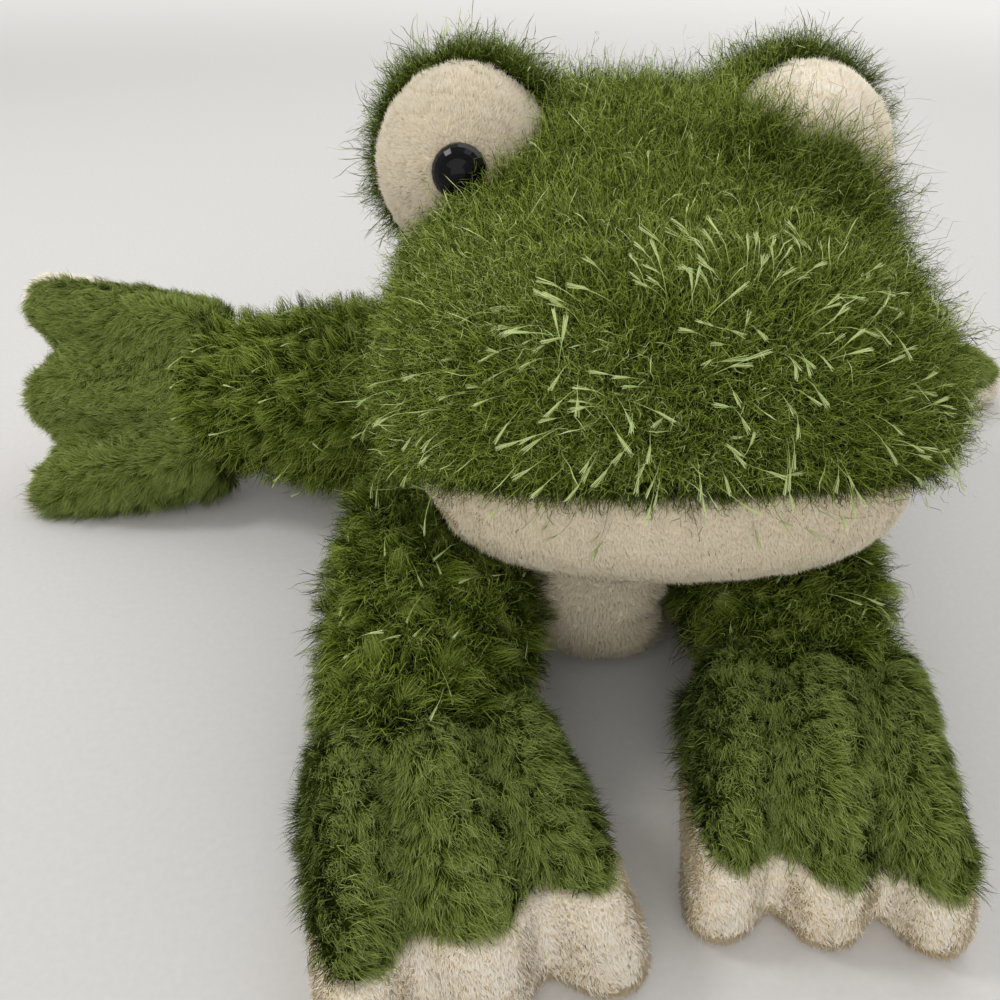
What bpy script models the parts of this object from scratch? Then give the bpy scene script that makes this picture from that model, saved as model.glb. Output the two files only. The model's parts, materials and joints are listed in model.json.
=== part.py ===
# Stuffed frog that lies on its belly with its head up over its front arms.
# Sizes are metres. The frog faces -Y, its right side is at -X and it rests on z = 0.
# Each stuffed form is a coarse cage of rings or rows under a Subdivision Surface,
# taken out to about the middle of its pile.

from math import asin, atan2, copysign, cos, hypot, pi, radians, sin

import bmesh
import bpy
from mathutils import Matrix, Vector

# Clearances and cuts
CLEARANCE = 0.0003
FLOOR_CUT = 0.0005
OVERRUN = 0.030
SKIN_THICKNESS = 0.003
FILLING_GAP = 0.0008

# Torso: chest at the front, rump behind, widest line at its seat height
TORSO_LENGTH = 0.112
TORSO_FRONT = 0.026
TORSO_HALF_WIDTH = 0.034
TORSO_SEAT_HEIGHT = 0.020
TORSO_RISE = 0.029
BELLY_SEAM_FRONT = 0.047
BELLY_SEAM_BACK = 0.007
# share along the length, then shares of half width, rise and seat height
TORSO_SHARES = (
    (0.000, 0.20, 0.34, 0.16),
    (0.045, 0.42, 0.76, 0.60),
    (0.180, 0.45, 0.92, 0.74),
    (0.360, 0.68, 1.00, 1.00),
    (0.560, 1.00, 1.00, 1.06),
    (0.740, 0.88, 0.94, 1.06),
    (0.880, 0.60, 0.74, 0.90),
    (0.970, 0.34, 0.40, 0.50),
    (1.000, 0.14, 0.14, 0.18),
)

# Head: a clam of a big shaggy crown over a shallow jaw, both in one form
NECK_OFFSET = 0.0074
NECK_BACK = 0.010
NECK_HEIGHT = 0.046
NECK_REACH = 0.0385
HEAD_TURN = radians(-4)
HEAD_TILT = radians(22)
HEAD_LENGTH = 0.108
HEAD_FRONT = 0.060
HEAD_HALF_WIDTH = 0.0508
MOUTH_HEIGHT = -0.008
HEAD_RISE = 0.050
HEAD_ROUND_SHARE = 0.75
JAW_DEPTH = 0.0225
JAW_INSET = 0.0045
# share along the length, then shares of half width, rise and jaw depth
HEAD_SHARES = (
    (0.00, 0.26, 0.20, 0.40),
    (0.04, 0.62, 0.44, 0.80),
    (0.14, 0.88, 0.68, 1.08),
    (0.30, 1.00, 0.84, 0.84),
    (0.50, 1.01, 1.05, 0.62),
    (0.70, 1.02, 1.38, 0.52),
    (0.86, 0.87, 1.52, 0.40),
    (0.96, 0.54, 1.16, 0.25),
    (1.00, 0.24, 0.62, 0.10),
)

# Eyes: a cream dome, a shaggy brow behind it and a bead on a locked stem.
# Their place is a share of the head's length from its front.
EYE_SPACING = 0.070
EYE_PLACE_SHARE = 0.676
EYE_HEIGHT = 0.0475
DOME_RADIUS = 0.0180
DOME_HEIGHT = 0.0190
BROW_RADIUS = 0.0203
BROW_HEIGHT = 0.0207
BROW_SETBACK = 0.0060
BROW_LIFT = 0.0015
BROW_SHIFT = 0.0015
BROW_EDGE_BACK = 0.0015
BROW_LEAN = radians(24)
BEAD_RADIUS = 0.0054
BEAD_RISE = 0.0040
BEAD_BACK = 0.0022
BEAD_OUT = radians(4)
BEAD_UP = radians(-10)
BEAD_SINK = 0.0006
STEM_RADIUS = 0.0014
STEM_LENGTH = 0.0072
WASHER_RADIUS = 0.0037
WASHER_THICKNESS = 0.0010
WASHER_DEPTH = 0.0043

# Arms: a ball at the shoulder, a swell, a ball at the wrist
SHOULDER_SPACING = 0.066
SHOULDER_BACK = 0.004
SHOULDER_HEIGHT = 0.0275
SHOULDER_RADIUS = 0.0165
ARM_LENGTH = 0.053
ARM_RADIUS = 0.0208
ARM_RISE = 0.0178
WRIST_HEIGHT = 0.0185
WRIST_RADIUS = 0.0155
RIGHT_ARM_TURN = radians(-9.5)
LEFT_ARM_TURN = radians(-6.0)
LEFT_SHOULDER_SETBACK = 0.008
ARM_PRESS_ANGLE = radians(12)

# Hands: three lobes each, flat on the floor, over palms that rise to the tips and inward
HAND_LENGTH = 0.047
HAND_HALF_WIDTH = 0.0197
RIGHT_HAND_SPREAD = radians(8)
LEFT_HAND_SPREAD = radians(4)
HAND_THICKNESS = 0.0345
PALM_HEEL = 0.0055
RIGHT_PALM_TIP = 0.0190
LEFT_PALM_TIP = 0.0140
PALM_ROLL = radians(5)
RIGHT_HAND_TURN = radians(11)
LEFT_HAND_TURN = radians(-10)

# Legs: a ball at the hip, a swell, a ball at the ankle
HIP_SPACING = 0.060
HIP_BACK = 0.052
HIP_HEIGHT = 0.0245
HIP_RADIUS = 0.0195
LEG_LENGTH = 0.049
LEG_RADIUS = 0.0245
LEG_RISE = 0.0240
RIGHT_ANKLE_HEIGHT = 0.0265
LEFT_ANKLE_HEIGHT = 0.0175
ANKLE_RADIUS = 0.0165
RIGHT_LEG_TURN = radians(5)
LEFT_LEG_TURN = radians(29)
LEG_FORWARD_LIMIT = radians(10)
LEG_BACK_LIMIT = radians(38)

# Feet: three lobes each, the right one on edge and leaning back, the left one nearly flat
FOOT_LENGTH = 0.058
FOOT_HALF_WIDTH = 0.0220
FOOT_SPREAD = radians(11)
FOOT_THICKNESS = 0.0240
FOOT_SOLE_DROP = 0.0115
RIGHT_FOOT_LEAN = radians(58)
LEFT_FOOT_LEAN = radians(12)
SOLE_HEEL = 0.0040
SOLE_TIP = 0.0080
CUFF_FLARE = radians(36)
POCKET_REACH = 0.045
POCKET_EASE = radians(4)

# Rows of a paw from its cuff to its tips: shares of its length on a lobe, an edge
# and a crease, then the share of its thickness
PAW_ROW_SHARES = (
    {"lobe": 0.06, "edge": 0.06, "crease": 0.06, "height": 0.98},
    {"lobe": 0.36, "edge": 0.34, "crease": 0.34, "height": 0.92},
    {"lobe": 0.68, "edge": 0.60, "crease": 0.60, "height": 0.78},
    {"lobe": 0.92, "edge": 0.84, "crease": 0.74, "height": 0.60},
    {"lobe": 1.03, "edge": 0.92, "crease": 0.79, "height": 0.30},
)
# Lines across a paw from one edge to the other: share of the way out, share of height
PAW_LINE_SHARES = (
    ("edge", -1.00, 0.50),
    ("lobe", -0.86, 0.92),
    ("lobe", -0.54, 1.00),
    ("crease", -0.37, 0.76),
    ("lobe", -0.20, 1.00),
    ("lobe", 0.20, 1.00),
    ("crease", 0.37, 0.76),
    ("lobe", 0.54, 1.00),
    ("lobe", 0.86, 0.92),
    ("edge", 1.00, 0.50),
)

# Rings of a limb: offset in ball radii or length, then the radius, both as shares
BALL_OFFSET_SHARES = (0.99, 0.84, 0.48)
BALL_RADIUS_SHARES = (0.26, 0.60, 0.91)
LIMB_SWELL_SHARE = 0.45

BODY_SIDES = 14
LIMB_SIDES = 10
FILLING_SIDES = 8
CUT_SIDES = 20
TURNED_STEPS = 20
CURVE_STEPS = 6
PRESS_STEPS = 8

GREEN_SHAG = (0.085, 0.120, 0.020, 1.0)
GREEN_PLUSH = (0.075, 0.100, 0.022, 1.0)
CREAM_PLUSH = (0.560, 0.490, 0.360, 1.0)
BEAD_BLACK = (0.004, 0.004, 0.005, 1.0)
WASHER_WHITE = (0.780, 0.770, 0.740, 1.0)
FILLING_WHITE = (0.800, 0.790, 0.760, 1.0)

SIDES = (("right", -1), ("left", 1))


# Scene set-up

def clear_scene():
    for item in list(bpy.data.objects):
        bpy.data.objects.remove(item, do_unlink=True)


def new_collection(name):
    collection = bpy.data.collections.new(name)
    bpy.context.scene.collection.children.link(collection)
    return collection


def make_material(name, colour, roughness):
    material = bpy.data.materials.new(name)
    material.use_nodes = True
    shader = material.node_tree.nodes["Principled BSDF"]
    shader.inputs["Base Color"].default_value = colour
    shader.inputs["Roughness"].default_value = roughness
    shader.inputs["Metallic"].default_value = 0.0
    return material


def make_materials():
    return {
        "green_shag": make_material("green_shag", GREEN_SHAG, 0.85),
        "green_plush": make_material("green_plush", GREEN_PLUSH, 0.85),
        "cream_plush": make_material("cream_plush", CREAM_PLUSH, 0.90),
        "bead_black": make_material("bead_black", BEAD_BLACK, 0.08),
        "washer_white": make_material("washer_white", WASHER_WHITE, 0.45),
        "filling_white": make_material("filling_white", FILLING_WHITE, 0.95),
    }


def add_empty(name, location, parent=None, rotation=None):
    empty = bpy.data.objects.new(name, None)
    empty.empty_display_size = CLEARANCE
    cutters.objects.link(empty)
    empty.parent = parent
    empty.location = location
    empty.rotation_euler = rotation or (0, 0, 0)
    return empty


def add_object(name, mesh, parent, material=None):
    item = bpy.data.objects.new(name, mesh)
    item.parent = parent
    if material:
        parts.objects.link(item)
        mesh.materials.append(materials[material])
        mesh.shade_smooth()
        mesh.set_sharp_from_angle(angle=radians(40))
    else:
        cutters.objects.link(item)
        item.hide_render = True
        item.display_type = "WIRE"
    return item


def mesh_from(name, build):
    mesh = bpy.data.meshes.new(name)
    work = bmesh.new()
    build(work)
    bmesh.ops.recalc_face_normals(work, faces=work.faces)
    work.to_mesh(mesh)
    work.free()
    return mesh


def subdivide(item):
    modifier = item.modifiers.new("swell", "SUBSURF")
    modifier.levels = 1
    modifier.render_levels = 1


def combine(item, cutter, operation="DIFFERENCE"):
    modifier = item.modifiers.new(cutter.name, "BOOLEAN")
    modifier.operation = operation
    modifier.object = cutter
    modifier.solver = "EXACT"


# Cages

def cage_swell(sides):
    """How far a ring's corners stand out so that the smooth form has the stated radius."""
    return 3 / (2 + cos(2 * pi / sides))


def oval_ring(along, half_width, rise, drop, sides, round_share=1):
    """A closed ring across the Y axis, boxier for a lower round share.

    It has its own height above and below the axis.
    """
    swell = cage_swell(sides)
    ring = []
    for step in range(sides):
        angle = 2 * pi * (step + 0.5) / sides
        across = copysign(abs(cos(angle)) ** round_share, cos(angle))
        upright = copysign(abs(sin(angle)) ** round_share, sin(angle))
        height = rise if upright > 0 else drop
        ring.append(swell * Vector((half_width * across, 0, height * upright)))
        ring[-1].y = along
    return ring


def loft(name, rings, parent, material=None):
    """A closed stuffed form through rings, with a face over each end."""

    def build(work):
        rows = [[work.verts.new(point) for point in ring] for ring in rings]
        for first, second in zip(rows, rows[1:]):
            for index in range(len(first)):
                after = (index + 1) % len(first)
                work.faces.new((first[index], first[after], second[after], second[index]))
        work.faces.new(rows[0])
        work.faces.new(rows[-1])

    item = add_object(name, mesh_from(name, build), parent, material)
    subdivide(item)
    return item


def torso_rings(grow, sides):
    rings = []
    for along, width, rise, drop in TORSO_SHARES:
        place = -TORSO_FRONT - grow + along * (TORSO_LENGTH + 2 * grow)
        rings.append(oval_ring(
            place,
            width * (TORSO_HALF_WIDTH + grow),
            rise * (TORSO_RISE + grow),
            drop * (TORSO_SEAT_HEIGHT + grow),
            sides,
        ))
    return rings


def head_rings(grow, sides):
    rings = []
    for along, width, rise, drop in HEAD_SHARES:
        place = -HEAD_FRONT - grow + along * (HEAD_LENGTH + 2 * grow)
        rings.append(oval_ring(
            place,
            width * (HEAD_HALF_WIDTH + grow),
            rise * (HEAD_RISE + grow),
            drop * (JAW_DEPTH + grow),
            sides,
            HEAD_ROUND_SHARE,
        ))
    return rings


def limb_rings(root_radius, middle_radius, middle_rise, tip_radius, length):
    """Rings from behind the root ball, along -Y, to beyond the tip ball."""
    rings = []
    for offset, share in zip(BALL_OFFSET_SHARES, BALL_RADIUS_SHARES):
        radius = share * root_radius
        rings.append(oval_ring(offset * root_radius, radius, radius, radius, LIMB_SIDES))
    rings.append(oval_ring(0, root_radius, root_radius, root_radius, LIMB_SIDES))
    swell = LIMB_SWELL_SHARE * length
    rings.append(oval_ring(-swell, middle_radius, middle_rise, middle_radius, LIMB_SIDES))
    rings.append(oval_ring(-length, tip_radius, tip_radius, tip_radius, LIMB_SIDES))
    for offset, share in zip(reversed(BALL_OFFSET_SHARES), reversed(BALL_RADIUS_SHARES)):
        radius = share * tip_radius
        place = -length - offset * tip_radius
        rings.append(oval_ring(place, radius, radius, radius, LIMB_SIDES))
    return rings


def paw(name, side, length, half_width, spread, thickness, drop, parent, material=None):
    """A mitten with three lobes along -Y, its flat sole lying drop below the joint."""

    def line_point(row, line):
        kind, out, rise = PAW_LINE_SHARES[line]
        share = PAW_ROW_SHARES[row][kind]
        height = PAW_ROW_SHARES[row]["height"]
        if row == 0:
            rise = (1 + rise) / 2
        angle = out * spread
        place = Vector((out * half_width, 0, 0))
        place += share * length * Vector((sin(angle), -cos(angle), 0))
        place.x *= side
        return place, height * rise * thickness

    def build(work):
        tops = []
        soles = []
        for row in range(len(PAW_ROW_SHARES)):
            tops.append([])
            soles.append([])
            for line in range(len(PAW_LINE_SHARES)):
                place, height = line_point(row, line)
                tops[-1].append(work.verts.new(place + Vector((0, 0, height - drop))))
                soles[-1].append(work.verts.new(place - Vector((0, 0, drop + FLOOR_CUT))))
        last_row = len(tops) - 1
        last_line = len(tops[0]) - 1
        for row in range(last_row):
            for line in range(last_line):
                for layer in (tops, soles):
                    work.faces.new((
                        layer[row][line],
                        layer[row + 1][line],
                        layer[row + 1][line + 1],
                        layer[row][line + 1],
                    ))
            for line in (0, last_line):
                work.faces.new((
                    tops[row][line], tops[row + 1][line], soles[row + 1][line], soles[row][line],
                ))
        for line in range(last_line):
            for row in (0, last_row):
                work.faces.new((
                    tops[row][line], tops[row][line + 1], soles[row][line + 1], soles[row][line],
                ))

    item = add_object(name, mesh_from(name, build), parent, material)
    subdivide(item)
    return item


def ball(name, radius, place, parent, stretch=(1, 1, 1), material=None):
    def build(work):
        matrix = Matrix.Translation(place) @ Matrix.Diagonal((*stretch, 1))
        bmesh.ops.create_uvsphere(
            work, u_segments=CUT_SIDES, v_segments=CUT_SIDES // 2, radius=radius, matrix=matrix,
        )

    return add_object(name, mesh_from(name, build), parent, material)


def block(name, low, high, parent):
    """A cutter box between two corners."""

    def build(work):
        middle = (Vector(low) + Vector(high)) / 2
        span = Vector(high) - Vector(low)
        matrix = Matrix.Translation(middle) @ Matrix.Diagonal((*span, 1))
        bmesh.ops.create_cube(work, size=1, matrix=matrix)

    return add_object(name, mesh_from(name, build), parent)


def turned(name, profile, parent, material=None):
    """A profile of (radius, height) points, top to bottom, turned about Z."""
    mesh = bpy.data.meshes.new(name)
    mesh.from_pydata(
        [(radius, 0, height) for radius, height in profile],
        [(index, index + 1) for index in range(len(profile) - 1)],
        [],
    )
    item = add_object(name, mesh, parent, material)
    screw = item.modifiers.new("turn", "SCREW")
    screw.steps = TURNED_STEPS
    screw.render_steps = TURNED_STEPS
    screw.use_merge_vertices = True
    screw.merge_threshold = CLEARANCE / 10
    screw.use_smooth_shade = True
    return item


# Torso

def make_torso(frame, floor):
    seat = add_empty("torso_seat", (0, 0, TORSO_SEAT_HEIGHT), frame)
    seam_length = TORSO_LENGTH
    seam_angle = -atan2(BELLY_SEAM_FRONT - BELLY_SEAM_BACK, seam_length)
    seam = add_empty("belly_seam", (0, -TORSO_FRONT, BELLY_SEAM_FRONT), frame, (seam_angle, 0, 0))
    reach = TORSO_LENGTH + OVERRUN
    low = (-reach, -OVERRUN, -reach)
    high = (reach, reach + OVERRUN, 0)
    below_seam = block("below_seam", low, high, seam)
    raised_high = (reach, reach + OVERRUN, CLEARANCE)
    below_gap = block("below_gap", low, raised_high, seam)
    above_neck = block(
        "above_neck", (-reach, -reach, NECK_HEIGHT), (reach, reach, NECK_HEIGHT + reach), frame,
    )
    hollow = loft("torso_hollow", torso_rings(-SKIN_THICKNESS, FILLING_SIDES), seat)

    back = loft("torso_back", torso_rings(0, BODY_SIDES), seat, "green_shag")
    combine(back, below_gap)
    belly = loft("belly_panel", torso_rings(0, BODY_SIDES), seat, "cream_plush")
    combine(belly, below_seam, "INTERSECT")
    combine(belly, floor)
    filling_rings = torso_rings(-SKIN_THICKNESS - FILLING_GAP, FILLING_SIDES)
    filling = loft("torso_filling", filling_rings, seat, "filling_white")
    for item in (back, belly):
        combine(item, above_neck)
        combine(item, hollow)
    for item in (back, belly, filling):
        for pocket in pockets:
            combine(item, pocket)


# Head

def make_head(frame):
    neck_place = (NECK_OFFSET, NECK_BACK, NECK_HEIGHT)
    neck = add_empty("neck_turn", neck_place, frame, (0, 0, HEAD_TURN))
    tilt = add_empty("head_tilt", (0, 0, 0), neck, (-HEAD_TILT, 0, 0))
    mouth = add_empty("mouth_plane", (0, 0, MOUTH_HEIGHT), tilt)
    reach = HEAD_LENGTH + OVERRUN
    below_mouth = block("below_mouth", (-reach, -reach, -reach), (reach, reach, 0), mouth)
    below_jaw = block("below_jaw", (-reach, -reach, -reach), (reach, reach, -CLEARANCE), mouth)
    under_neck = block(
        "under_neck", (-reach, -NECK_REACH, -reach), (reach, reach, CLEARANCE), neck,
    )
    hollow = loft("head_hollow", head_rings(-SKIN_THICKNESS - JAW_INSET, FILLING_SIDES), mouth)

    crown = loft("head_crown", head_rings(0, BODY_SIDES), mouth, "green_shag")
    combine(crown, below_mouth)
    jaw = loft("lower_jaw", head_rings(-JAW_INSET, BODY_SIDES), mouth, "cream_plush")
    combine(jaw, below_jaw, "INTERSECT")
    for item in (crown, jaw):
        combine(item, under_neck)
        combine(item, hollow)
    filling_rings = head_rings(-SKIN_THICKNESS - JAW_INSET - FILLING_GAP, FILLING_SIDES)
    filling = loft("head_filling", filling_rings, mouth, "filling_white")
    combine(filling, under_neck)
    crown_clear = loft("crown_clear", head_rings(CLEARANCE, BODY_SIDES), mouth)
    press_arms(neck, mouth, below_mouth, under_neck)
    for side_name, side in SIDES:
        make_eye(side_name, side, tilt, crown_clear)


def head_underside(forms, neck):
    """Points under all that the head passes over as it turns, outermost first."""
    bpy.context.view_layer.update()
    graph = bpy.context.evaluated_depsgraph_get()
    points = []
    for form in forms:
        place = neck.matrix_world.inverted() @ form.matrix_world
        for vertex in form.evaluated_get(graph).data.vertices:
            point = place @ vertex.co
            points.append((hypot(point.x, point.y), point.z))
    reach = max(radius for radius, height in points) + CLEARANCE
    facet = cos(pi / TURNED_STEPS)
    profile = [(0, OVERRUN), (reach / facet, OVERRUN)]
    for step in range(PRESS_STEPS, 0, -1):
        inner = reach * (step - 1) / PRESS_STEPS
        height = min(height for radius, height in points if radius >= inner)
        profile.append((reach * step / PRESS_STEPS / facet, height - CLEARANCE))
    profile.append((0, profile[-1][1]))
    return profile


def press_arms(neck, mouth, below_mouth, under_neck):
    """The head rests on the arms, so they are pressed in wherever it turns over them."""
    crown = loft("crown_press", head_rings(CLEARANCE, BODY_SIDES), mouth)
    combine(crown, below_mouth)
    jaw = loft("jaw_press", head_rings(CLEARANCE - JAW_INSET, BODY_SIDES), mouth)
    for form in (crown, jaw):
        combine(form, under_neck)
    path = turned("head_path", head_underside((crown, jaw), neck), neck)
    for side_name, side in SIDES:
        combine(arms[side_name], path)


def bead_profile(grow):
    """The bead's outline, its crown, its back cone and its stem, grown by a clearance."""
    radius = BEAD_RADIUS + grow
    points = []
    for step in range(CURVE_STEPS + 1):
        angle = pi / 2 * step / CURVE_STEPS
        points.append((radius * sin(angle), (BEAD_RISE + grow) * cos(angle)))
    points.append((STEM_RADIUS + grow, -BEAD_BACK - grow))
    points.append((STEM_RADIUS + grow, -STEM_LENGTH - grow))
    points.append((0, -STEM_LENGTH - grow))
    return points


def washer_profile(grow):
    outer = WASHER_RADIUS + grow
    top = -WASHER_DEPTH + grow
    bottom = -WASHER_DEPTH - WASHER_THICKNESS - grow
    if grow:
        return [(0, top), (outer, top), (outer, bottom), (0, bottom)]
    inner = STEM_RADIUS + CLEARANCE
    return [(inner, top), (outer, top), (outer, bottom), (inner, bottom), (inner, top)]


def make_eye(side_name, side, tilt, crown_clear):
    back = EYE_PLACE_SHARE * HEAD_LENGTH - HEAD_FRONT
    centre = (side * EYE_SPACING / 2, back, EYE_HEIGHT)
    socket = add_empty(side_name + "_eye_centre", centre, tilt)
    tall = (1, 1, DOME_HEIGHT / DOME_RADIUS)
    dome = ball(side_name + "_eye_dome", DOME_RADIUS, (0, 0, 0), socket, tall, "cream_plush")
    combine(dome, crown_clear)
    dome_clear = ball(
        side_name + "_dome_clear", DOME_RADIUS + CLEARANCE, (0, 0, 0), socket, tall,
    )

    brow_centre = (-side * BROW_SHIFT, BROW_SETBACK, BROW_LIFT)
    brow_tall = (1, 1, BROW_HEIGHT / BROW_RADIUS)
    brow = ball(side_name + "_brow", BROW_RADIUS, brow_centre, socket, brow_tall, "green_shag")
    edge = add_empty(side_name + "_brow_edge", (0, BROW_EDGE_BACK, 0), socket, (BROW_LEAN, 0, 0))
    reach = BROW_RADIUS + OVERRUN
    before_brow = block(side_name + "_before_brow", (-reach, -reach, -reach), (reach, 0, reach), edge)
    combine(brow, before_brow)
    combine(brow, dome_clear)
    combine(brow, crown_clear)

    facing = Matrix.Rotation(side * BEAD_OUT, 3, "Z") @ Matrix.Rotation(-BEAD_UP, 3, "X")
    outward = facing @ Vector((0, -1, 0))
    stretch = ((outward.x ** 2 + outward.y ** 2) / DOME_RADIUS ** 2
               + outward.z ** 2 / DOME_HEIGHT ** 2) ** -0.5
    seat = add_empty(side_name + "_bead_seat", outward * (stretch - BEAD_SINK), socket)
    seat.rotation_euler = outward.to_track_quat("Z", "Y").to_euler()
    turned(side_name + "_eye_bead", bead_profile(0), seat, "bead_black")
    turned(side_name + "_eye_washer", washer_profile(0), seat, "washer_white")
    combine(dome, turned(side_name + "_bead_clear", bead_profile(CLEARANCE), seat))
    combine(dome, turned(side_name + "_washer_clear", washer_profile(CLEARANCE), seat))


# Limbs

def make_pocket(name, radius, flare, place, turn, parent):
    """A hollow with a round bottom that flares open along its own Z, where a limb swings."""
    mouth = add_empty(name + "_mouth", place, parent, turn)
    hollow = (radius + CLEARANCE) / cos(pi / TURNED_STEPS)
    far = (hollow + POCKET_REACH * sin(flare)) / cos(flare)
    profile = [(0, POCKET_REACH), (far, POCKET_REACH)]
    for step in range(CURVE_STEPS):
        angle = flare + (pi / 2 - flare) * step / CURVE_STEPS
        profile.append((hollow * cos(angle), -hollow * sin(angle)))
    profile.append((0, -hollow))
    return turned(name + "_pocket", profile, mouth)


def swing_pocket(name, radius, middle_radius, length, swing, pitch, heading, parent):
    """The hollow in the torso for a limb's ball, open wide enough for the limb's swing."""
    swell = atan2(middle_radius - radius, length * LIMB_SWELL_SHARE)
    middle = add_empty(name + "_middle", (0, 0, 0), parent, (pitch, 0, heading))
    flare = swing / 2 + swell + POCKET_EASE
    pockets.append(make_pocket(name, radius, flare, (0, 0, 0), (pi / 2, 0, 0), middle))


def split_paw(name, sole_name, side, sizes, seam, parent, colour, floor):
    """A paw's plush top and its cream sole, parted by a plane that rises to the tips."""
    length, half_width, spread, thickness, drop = sizes
    heel, tip, roll = seam
    slope = -atan2(tip - heel, length)
    plane = add_empty(name + "_seam", (0, 0, heel - drop), parent, (slope, side * roll, 0))
    reach = 2 * length
    below_top = block(name + "_below", (-reach, -reach, -reach), (reach, reach, CLEARANCE), plane)
    below_sole = block(sole_name + "_below", (-reach, -reach, -reach), (reach, reach, 0), plane)
    top = paw(name, side, *sizes, parent, colour)
    combine(top, below_top)
    sole = paw(sole_name, side, *sizes, parent, "cream_plush")
    combine(sole, below_sole, "INTERSECT")
    for item in (top, sole):
        combine(item, floor)
    return top, sole


def make_arm(side_name, side, shoulder, pose, floor):
    turn, hand_turn, spread, palm_tip = pose
    drop = SHOULDER_HEIGHT - WRIST_HEIGHT
    pitch = asin(drop / ARM_LENGTH)
    aim = add_empty(side_name + "_arm_aim", (0, 0, 0), shoulder, (pitch, 0, turn))
    sizes = (SHOULDER_RADIUS, ARM_RADIUS, ARM_RISE, WRIST_RADIUS, ARM_LENGTH)
    arms[side_name] = loft(side_name + "_arm", limb_rings(*sizes), aim, "green_shag")
    swing_pocket(
        side_name + "_shoulder", SHOULDER_RADIUS, ARM_RADIUS, ARM_LENGTH, ARM_PRESS_ANGLE,
        pitch, turn + side * ARM_PRESS_ANGLE / 2, shoulder,
    )
    run = ARM_LENGTH * cos(pitch)
    wrist_place = (run * sin(turn), -run * cos(turn), -drop)
    wrist = add_empty(side_name + "_wrist", wrist_place, shoulder, (0, 0, hand_turn))
    cuff_place = (0, -ARM_LENGTH, 0)
    cuff = make_pocket(
        side_name + "_wrist_cuff", WRIST_RADIUS, CUFF_FLARE, cuff_place, (-pi / 2, 0, 0), aim,
    )
    sizes = (HAND_LENGTH, HAND_HALF_WIDTH, spread, HAND_THICKNESS, WRIST_HEIGHT)
    pieces = split_paw(
        side_name + "_hand", side_name + "_palm", side, sizes,
        (PALM_HEEL, palm_tip, PALM_ROLL), wrist, "green_plush", floor,
    )
    for piece in pieces:
        combine(piece, cuff)


def make_leg(side_name, side, hip, pose, floor):
    turn, ankle_height, lean = pose
    drop = HIP_HEIGHT - ankle_height
    pitch = asin(drop / LEG_LENGTH)
    heading = side * (pi / 2 + turn)
    aim = add_empty(side_name + "_leg_aim", (0, 0, 0), hip, (pitch, 0, heading))
    sizes = (HIP_RADIUS, LEG_RADIUS, LEG_RISE, ANKLE_RADIUS, LEG_LENGTH)
    leg = loft(side_name + "_leg", limb_rings(*sizes), aim, "green_shag")
    combine(leg, floor)
    middle_heading = side * (pi / 2 + (LEG_BACK_LIMIT - LEG_FORWARD_LIMIT) / 2)
    swing_pocket(
        side_name + "_hip", HIP_RADIUS, LEG_RADIUS, LEG_LENGTH, LEG_BACK_LIMIT + LEG_FORWARD_LIMIT,
        pitch, middle_heading, hip,
    )
    run = LEG_LENGTH * cos(pitch)
    ankle_place = (run * sin(heading), -run * cos(heading), -drop)
    ankle = add_empty(side_name + "_ankle", ankle_place, hip, (0, 0, heading))
    roll = add_empty(side_name + "_foot_roll", (0, 0, 0), ankle, (0, -side * lean, 0))
    cuff_place = (0, -LEG_LENGTH, 0)
    cuff = make_pocket(
        side_name + "_ankle_cuff", ANKLE_RADIUS, CUFF_FLARE, cuff_place, (-pi / 2, 0, 0), aim,
    )
    sizes = (FOOT_LENGTH, FOOT_HALF_WIDTH, FOOT_SPREAD, FOOT_THICKNESS, FOOT_SOLE_DROP)
    pieces = split_paw(
        side_name + "_foot", side_name + "_sole", side, sizes,
        (SOLE_HEEL, SOLE_TIP, 0), roll, "green_plush", floor,
    )
    for piece in pieces:
        combine(piece, cuff)


def make_limbs(frame, floor):
    arm_poses = {
        "right": (RIGHT_ARM_TURN, RIGHT_HAND_TURN, RIGHT_HAND_SPREAD, RIGHT_PALM_TIP),
        "left": (LEFT_ARM_TURN, LEFT_HAND_TURN, LEFT_HAND_SPREAD, LEFT_PALM_TIP),
    }
    leg_poses = {
        "right": (RIGHT_LEG_TURN, RIGHT_ANKLE_HEIGHT, RIGHT_FOOT_LEAN),
        "left": (LEFT_LEG_TURN, LEFT_ANKLE_HEIGHT, LEFT_FOOT_LEAN),
    }
    setbacks = {"right": 0, "left": LEFT_SHOULDER_SETBACK}
    for side_name, side in SIDES:
        shoulder_place = (
            side * SHOULDER_SPACING / 2, SHOULDER_BACK + setbacks[side_name], SHOULDER_HEIGHT,
        )
        shoulder = add_empty(side_name + "_shoulder", shoulder_place, frame)
        make_arm(side_name, side, shoulder, arm_poses[side_name], floor)
        hip = add_empty(side_name + "_hip", (side * HIP_SPACING / 2, HIP_BACK, HIP_HEIGHT), frame)
        make_leg(side_name, side, hip, leg_poses[side_name], floor)


def centre_on_origin(frame):
    """Moves the frog so that the origin is at the bottom centre of its box."""
    bpy.context.view_layer.update()
    graph = bpy.context.evaluated_depsgraph_get()
    corners = []
    for item in parts.objects:
        shown = item.evaluated_get(graph)
        corners += [shown.matrix_world @ vertex.co for vertex in shown.data.vertices]
    for axis in (0, 1):
        low = min(corner[axis] for corner in corners)
        high = max(corner[axis] for corner in corners)
        frame.location[axis] = -(low + high) / 2


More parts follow.
